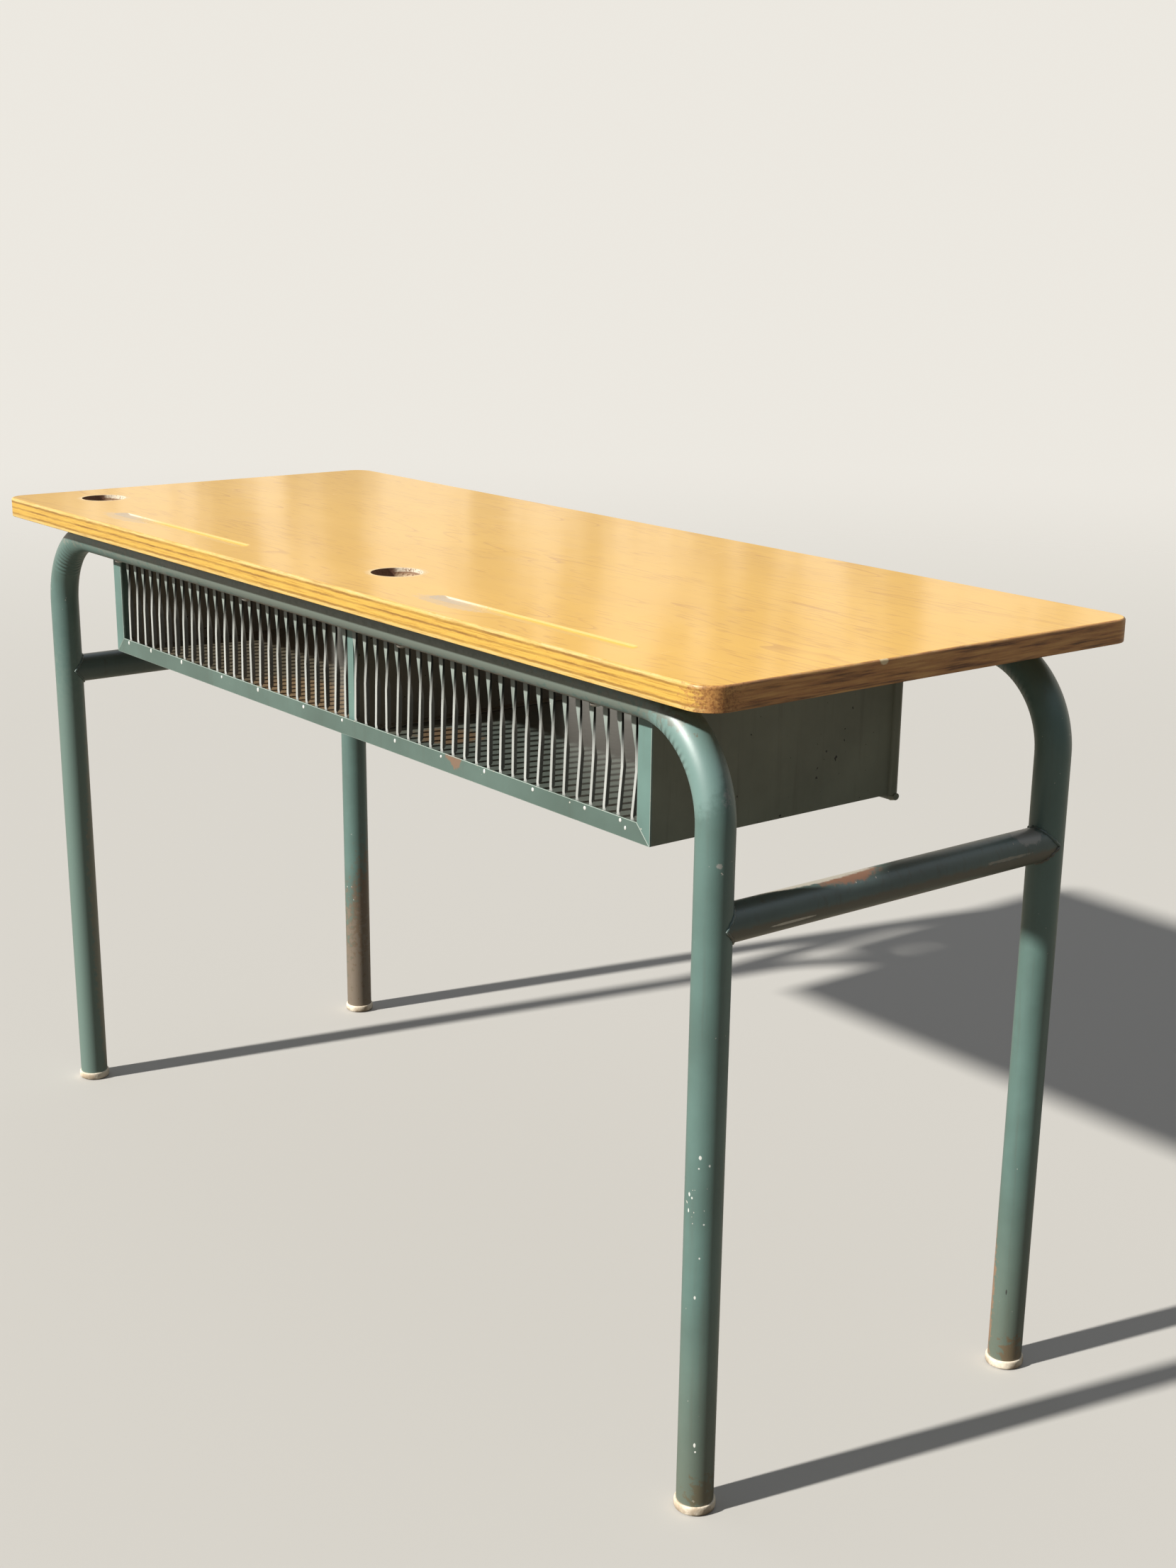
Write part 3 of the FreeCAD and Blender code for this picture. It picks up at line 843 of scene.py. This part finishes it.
for sideName, y in (("front", -tube["legY"]), ("rear", tube["legY"])):
    for endName, x in (("left", -tube["legX"]), ("right", tube["legX"])):
        footCap(f"{sideName}_{endName}_foot", x, y, f"foot_cap_{sideName}_{endName}")
print("feet built")

grille = {"rub": 0.45, "front": -188, "spotRadius": 1.7, "spotRise": 0.7,
          "spots": ((-473, 600.4), (-416, 600.6), (-340, 600.2), (-245, 599.9), (-164, 600.3), (-68, 599.6),
                    (9, 600.3), (108, 598.7), (189, 599.8), (261, 600.6), (337, 599.9), (414, 600.2),
                    (464, 600.9), (471, 595.5))}


# angle pieces keep the solid's form, with their arrises rubbed round
def rubbedAngle(name, node, paint):
    bm = bmesh.new()
    bm.from_mesh(cadNodes[node].data)
    mergeDoubles(bm)
    bmesh.ops.dissolve_limit(bm, angle_limit=math.radians(1), verts=bm.verts, edges=bm.edges)
    for face in softenEdges(bm, sharpEdges(bm, 40), grille["rub"]):
        face.material_index = 1
    settle(bm, name, [paint, rubbedPaint], [node])


def spotWelds():
    bm = bmesh.new()
    dice = random.Random(5)
    for x, z in grille["spots"]:
        made = bmesh.ops.create_uvsphere(bm, u_segments=14, v_segments=8, radius=1)["verts"]
        wide = grille["spotRadius"] * dice.uniform(0.8, 1.15)
        bmesh.ops.scale(bm, vec=mm(wide, grille["spotRise"], wide * dice.uniform(1.0, 1.5)), verts=made)
        move(bm, made, mm(x, grille["front"], z))
    settle(bm, "grille_spot_welds", [weldMetal], [])


rubbedAngle("grille_lower_angle", "grille_bottom_rail", railPaint)
rubbedAngle("grille_upper_strip", "grille_top_rail", grillePaint)
rubbedAngle("grille_left_angle", "grille_left_stile", grillePaint)
rubbedAngle("grille_right_angle", "grille_right_stile", grillePaint)
spotWelds()

bars = {"count": 25, "reach": 475, "width": 7, "thick": 2.4, "back": -186, "twist": 63, "low": 589.2,
        "lowFlat": 10, "lowRun": 8, "topFlat": 48, "topRun": 44, "lowSetback": 2.5,
        "bowSetback": 3.2, "topSetback": 2.0, "endBow": 2.6, "endBowFrom": 250, "endBowRun": 220,
        "bowSpread": 0.9, "twistSpread": 3.0, "steps": (1, 4, 3, 7, 1), "softening": 0.3}


# one bar: a flat strip turned and bowed back between its two flat ends
def pressedBar(bm, x, dice):
    turnBy = bars["twist"] + dice.uniform(-1, 1) * bars["twistSpread"]
    bow = bars["bowSetback"] + dice.uniform(-1, 1) * bars["bowSpread"]
    bow += bars["endBow"] * max(0, x - bars["endBowFrom"]) / bars["endBowRun"]
    lowBend = bars["low"] + bars["lowFlat"]
    topBend = underTop - bars["topFlat"]
    # height, setback and share of the turn at each bend
    bends = [Vector(bend) for bend in (
        (bars["low"], 0, 0), (lowBend, 0, 0), (lowBend + bars["lowRun"], bars["lowSetback"], 1),
        (topBend - bars["topRun"], bow, 1), (topBend, bars["topSetback"], 0), (underTop, 0, 0))]
    stations = [first.lerp(last, step / steps) for first, last, steps in zip(bends, bends[1:], bars["steps"])
                for step in range(1, steps + 1)]
    verts = bmesh.ops.create_grid(bm, x_segments=1, y_segments=1, size=0.5)["verts"]
    edges = edgesAt(verts)
    bmesh.ops.scale(bm, vec=mm(bars["width"], bars["thick"], 1), verts=verts)
    move(bm, verts, mm(x, bars["back"] + bars["thick"] / 2, bars["low"]))
    last = bends[0]
    for station in stations:
        made = bmesh.ops.extrude_edge_only(bm, edges=edges)["geom"]
        verts = vertsOf(made)
        edges = edgesOf(made)
        rise, setback, share = station - last
        move(bm, verts, mm(0, setback, rise))
        middle = sum((vert.co for vert in verts), Vector()) / len(verts)
        change = Matrix.Rotation(math.radians(-turnBy * share), 3, "Z")
        bmesh.ops.rotate(bm, cent=middle, matrix=change, verts=verts)
        last = station
    bmesh.ops.contextual_create(bm, geom=edges)


def barRow(name, side, node, dice):
    bm = bmesh.new()
    pitch = bars["reach"] / (bars["count"] - 0.5)
    for index in range(bars["count"]):
        pressedBar(bm, side * (index + 0.5) * pitch, dice)
    faceOutwards(bm)
    softenEdges(bm, [edge for edge in sharpEdges(bm, 60) if riseOf(edge) > 0.0005], bars["softening"])
    narrow = 0.004
    for face in bm.faces:
        level = [edge for edge in face.edges if riseOf(edge) < 0.0008]
        if max((edge.calc_length() for edge in level), default=0) < narrow:
            face.material_index = 2
        # rear faces get the near-black painted shade
        elif face.normal.y > 0:
            face.material_index = 1
    settle(bm, name, [barPaint, barBackPaintedShade, barEdgePaint], [node])


barDice = random.Random(23)
barRow("left_pressed_bars", -1, "grille_bars_left", barDice)
barRow("right_pressed_bars", 1, "grille_bars_right", barDice)
print("grille built")

box = {"half": 504, "sheet": 1.2, "front": -186, "low": 586, "rear": 112, "floorTop": 589.2,
       "floorRoll": 5, "wallRoll": 5.5, "rollTurn": 318, "rollSteps": 22, "rollSink": 1.0, "stub": 6,
       "stubGap": 0.3, "stubSquash": (1, 0.8, 0.7), "flange": 18, "flangeFront": -152, "flangeRear": 90,
       "softening": 0.3, "dividerX": 14.4, "dividerFront": -183.6, "dividerRear": 98, "dividerFace": 11.2,
       "dividerFoot": 12, "floorSteps": 12, "wallSteps": 4}
halfSheet = box["sheet"] / 2
innerHalf = box["half"] - box["sheet"]


def thicken(bm):
    faceOutwards(bm)
    bmesh.ops.solidify(bm, geom=list(bm.faces), thickness=box["sheet"] / 1000)


# sheet line that ends in a rolled hem
def rolledLine(bm, start, end, centre, axis, side):
    verts = drawLine(bm, (start, end))[0]
    turn(bm, verts[1:], centre, axis, side * box["rollTurn"], box["rollSteps"])


def softPlate(bm, low, high):
    softenEdges(bm, edgesAt(plate(bm, low, high)), box["softening"])


def boxFloor():
    bm = bmesh.new()
    rollY = box["rear"] - box["floorRoll"]
    centre = mm(-innerHalf, rollY, box["floorTop"] - box["floorRoll"])
    level = box["floorTop"] - halfSheet
    rolledLine(bm, mm(-innerHalf, box["front"], level), mm(-innerHalf, rollY, level), centre, (1, 0, 0), -1)
    pull(bm, list(bm.edges), mm(2 * innerHalf, 0, 0), box["floorSteps"])
    thicken(bm)
    settle(bm, "box_floor_sheet", [floorPaint], ["box_floor"], 50)


# squashed end of the floor's roll, which shows below each wall's rear corner
def rollStub(bm, side):
    place = mm(side * innerHalf, box["rear"] - box["floorRoll"], box["floorTop"] - box["floorRoll"])
    matrix = Matrix.Translation(place) @ Matrix.Rotation(math.pi / 2, 4, "Y")
    radius = (box["floorRoll"] - box["stubGap"]) / 1000
    made = bmesh.ops.create_circle(bm, cap_ends=True, radius=radius, segments=20, matrix=matrix)
    face = made["verts"][0].link_faces[0]
    grown = vertsOf(bmesh.ops.extrude_face_region(bm, geom=[face])["geom"])
    move(bm, grown, mm(side * box["stub"], 0, 0))
    bmesh.ops.scale(bm, vec=box["stubSquash"], verts=grown, space=Matrix.Translation(-place))


def boxWall(name, side, node):
    bm = bmesh.new()
    x = side * (box["half"] - halfSheet)
    reach = math.sqrt(box["wallRoll"] ** 2 - box["rollSink"] ** 2)
    rollY = box["rear"] - box["wallRoll"]
    centre = mm(x - side * box["rollSink"], rollY, box["low"])
    rolledLine(bm, mm(x, box["front"], box["low"]), mm(x, rollY - reach, box["low"]), centre, (0, 0, 1), side)
    pull(bm, list(bm.edges), mm(0, 0, underTop - box["low"]), box["wallSteps"])
    thicken(bm)
    ends = sorted((side * box["half"], side * (box["half"] + box["flange"])))
    softPlate(bm, mm(ends[0], box["flangeFront"], underTop - box["sheet"]),
              mm(ends[1], box["flangeRear"], underTop))
    rollStub(bm, side)
    faceOutwards(bm)
    for face in bm.faces:
        if face.normal.x * side < -0.7:
            face.material_index = 1
    settle(bm, name, [boxPaint, innerPaint], [node], 50)


def boxDivider():
    bm = bmesh.new()
    x = box["dividerX"]
    y = box["dividerFront"] + halfSheet
    base = box["floorTop"]
    drawLine(bm, (mm(x + box["dividerFace"] - halfSheet, y, base), mm(x, y, base),
                  mm(x, box["dividerRear"], base)))
    pull(bm, list(bm.edges), mm(0, 0, underTop - base), box["wallSteps"])
    thicken(bm)
    for low, wide in ((underTop - box["sheet"], box["flange"]), (base, box["dividerFoot"])):
        softPlate(bm, mm(x + halfSheet, box["flangeFront"], low),
                  mm(x + halfSheet + wide, box["flangeRear"], low + box["sheet"]))
    faceOutwards(bm)
    for face in bm.faces:
        if face.calc_center_median().y * 1000 < box["dividerFront"] + 2 * box["sheet"]:
            face.material_index = 1
    settle(bm, "box_divider_sheet", [innerPaint, grillePaint], ["box_divider"], 50)


boxFloor()
boxWall("left_box_wall", -1, "box_left_wall")
boxWall("right_box_wall", 1, "box_right_wall")
boxDivider()
print("book box built")

# the dome gives radius and height above the lowest point of the head
screw = {"head": 5, "headHeight": 3, "shank": 2.5, "grip": 11, "point": 2, "slot": 1.2, "slotDepth": 1.4,
         "slotOver": 1, "sides": 24,
         "dome": ((0, 0), (2.4, 0.15), (3.9, 0.7), (4.8, 1.7), (5.0, 2.5), (5.0, 3)),
         "railX": (-450, -150, 150, 450), "flangeX": (-513, 24, 513), "flangeY": (-121, -31, 59)}


def screwRow(name, places, seat, node):
    bm = bmesh.new()
    slots = bmesh.new()
    base = seat - screw["headHeight"]
    tip = underTop + screw["grip"]
    outline = [(radius, base + rise) for radius, rise in screw["dome"]]
    outline += [(screw["shank"], seat), (screw["shank"], tip - screw["point"]), (0, tip)]
    halfSlot = screw["slot"] / 2
    reach = screw["head"] + screw["slotOver"]
    for x, y in places:
        lathe(bm, outline, mm(x, y, 0), screw["sides"])
        plate(slots, mm(x - halfSlot, y - reach, base - screw["slotOver"]),
              mm(x + halfSlot, y + reach, base + screw["slotDepth"]))
    faceOutwards(bm)
    piece = looseMesh(bm, name)
    piece.data = carved(piece, slots)
    piece.data.name = name
    finishPiece(piece, [screwSteel], [node], 35)


railSeat = tube["railZ"] - tube["radius"]
flangePlaces = [(x, y) for x in screw["flangeX"] for y in screw["flangeY"]]
screwRow("front_tube_screws", [(x, -tube["legY"]) for x in screw["railX"]], railSeat, "front_rail_screws")
screwRow("rear_tube_screws", [(x, tube["legY"]) for x in screw["railX"]], railSeat, "rear_rail_screws")
screwRow("box_screws", flangePlaces, underTop - box["sheet"], "box_flange_screws")
print("screws built")

stageLook = {
    "floorSeen": (0.60, 0.585, 0.55, 1), "floorBounce": (0.17, 0.155, 0.125, 1),
    "floorMirrored": (0.26, 0.235, 0.185, 1), "floorRadius": 9.0, "floorDrop": -0.0004,
    "floorFade": (2.2, 7.5), "backSeen": (0.84, 0.81, 0.75, 1),
    "backMirrored": (0.86, 0.80, 0.69, 1), "backHeading": (-0.78, 0.62),
    "roomSeen": (0.14, 0.15, 0.155, 1), "skySeen": (0.62, 0.71, 0.80, 1),
    "fill": (0.92, 0.95, 1.0, 1), "roomFill": 0.17, "backFill": 0.34, "bandShare": 0.5,
    "sun": 5.7, "sunSize": 2.0, "sunColour": (1.0, 0.97, 0.92), "sunTravel": (0.22, 1.0, -0.62)}


def mirroredRays(tree, path):
    return sums(tree, "MAXIMUM", path["Is Glossy Ray"], path["Is Transmission Ray"])


def makeFloor():
    bm = bmesh.new()
    bmesh.ops.create_circle(bm, cap_ends=True, radius=stageLook["floorRadius"], segments=96)
    move(bm, bm.verts, (0, 0, stageLook["floorDrop"]))
    floor = looseMesh(bm, "floor")
    finish, tree, shader, place = newFinish("paleFloor")
    path = put(tree, "LightPath").outputs
    mirrored = mirroredRays(tree, path)
    colour = mixColour(tree, mirrored, stageLook["floorBounce"], stageLook["floorMirrored"])
    colour = mixColour(tree, path["Is Camera Ray"], colour, stageLook["floorSeen"])
    away = put(tree, "VectorMath", {0: place}, operation="LENGTH").outputs["Value"]
    near = minus(tree, 1.0, window(tree, away, *stageLook["floorFade"]))
    feed(tree, shader, {"Base Color": colour, "Roughness": 0.9, "Specular IOR Level": 0.1, "Alpha": near})
    floor.data.materials.append(finish)


def makeWorld():
    world = bpy.data.worlds.new("studio")
    bpy.context.scene.world = world
    world.use_nodes = True
    tree = world.node_tree
    tree.nodes.clear()
    path = put(tree, "LightPath").outputs
    heading = put(tree, "TexCoord").outputs["Generated"]
    x, y, z = axesOf(tree, heading)
    backX, backY = stageLook["backHeading"]
    behind = window(tree, plusShare(tree, times(tree, y, backY), x, backX), -0.35, 0.45)
    above = window(tree, z, 0.35, 0.8)
    bands = drawnNoise(tree, heading, (30, 30, 1.5), 3.0, 0.6)
    shade = times(tree, window(tree, bands, 0.57, 0.43), stageLook["bandShare"])
    backTone = mixColour(tree, 1.0, stageLook["backMirrored"], minus(tree, 1.0, shade), "MULTIPLY")
    around = mixColour(tree, behind, stageLook["roomSeen"], backTone)
    around = mixColour(tree, above, around, stageLook["skySeen"])
    mirrored = mirroredRays(tree, path)
    shown = mixColour(tree, mirrored, stageLook["backSeen"], around)
    seen = sums(tree, "MAXIMUM", path["Is Camera Ray"], mirrored)
    more = stageLook["backFill"] - stageLook["roomFill"]
    strength = plusShare(tree, stageLook["roomFill"], behind, more)
    fill = put(tree, "Background", {"Color": stageLook["fill"], "Strength": strength}).outputs[0]
    back = put(tree, "Background", {"Color": shown, "Strength": 1.0}).outputs[0]
    mix = put(tree, "MixShader", {0: seen, 1: fill, 2: back}).outputs[0]
    put(tree, "OutputWorld", {"Surface": mix})


def makeSun():
    lamp = bpy.data.lights.new("keyLamp", "SUN")
    lamp.energy = stageLook["sun"]
    lamp.angle = math.radians(stageLook["sunSize"])
    lamp.color = stageLook["sunColour"]
    holder = newObject("keyLamp", lamp)
    holder.rotation_euler = Vector(stageLook["sunTravel"]).to_track_quat("-Z", "Y").to_euler()


shot = {"place": (1.82891, -1.29760, 1.11061), "heading": 51.78, "dip": 17.65, "roll": 0.72,
        "lens": 48.593, "sensor": 36, "shiftY": 0.05784, "near": 0.05, "far": 60}


def makeCamera():
    heading, dip, roll = (math.radians(shot[name]) for name in ("heading", "dip", "roll"))
    ahead = Vector((-math.sin(heading) * math.cos(dip), math.cos(heading) * math.cos(dip), -math.sin(dip)))
    right = ahead.cross(Vector((0, 0, 1))).normalized()
    down = ahead.cross(right)
    across = right * math.cos(roll) - down * math.sin(roll)
    up = -(right * math.sin(roll) + down * math.cos(roll))
    data = bpy.data.cameras.new("photoCamera")
    data.sensor_fit = "AUTO"
    data.sensor_width = shot["sensor"]
    data.lens = shot["lens"]
    data.shift_y = shot["shiftY"]
    data.clip_start = shot["near"]
    data.clip_end = shot["far"]
    camera = newObject("photoCamera", data)
    turned = Matrix((across, up, -ahead)).transposed().to_4x4()
    camera.matrix_world = Matrix.Translation(shot["place"]) @ turned
    bpy.context.scene.camera = camera


makeFloor()
makeWorld()
makeSun()
makeCamera()
bpy.context.scene.view_settings.view_transform = "Standard"
print("stage built")
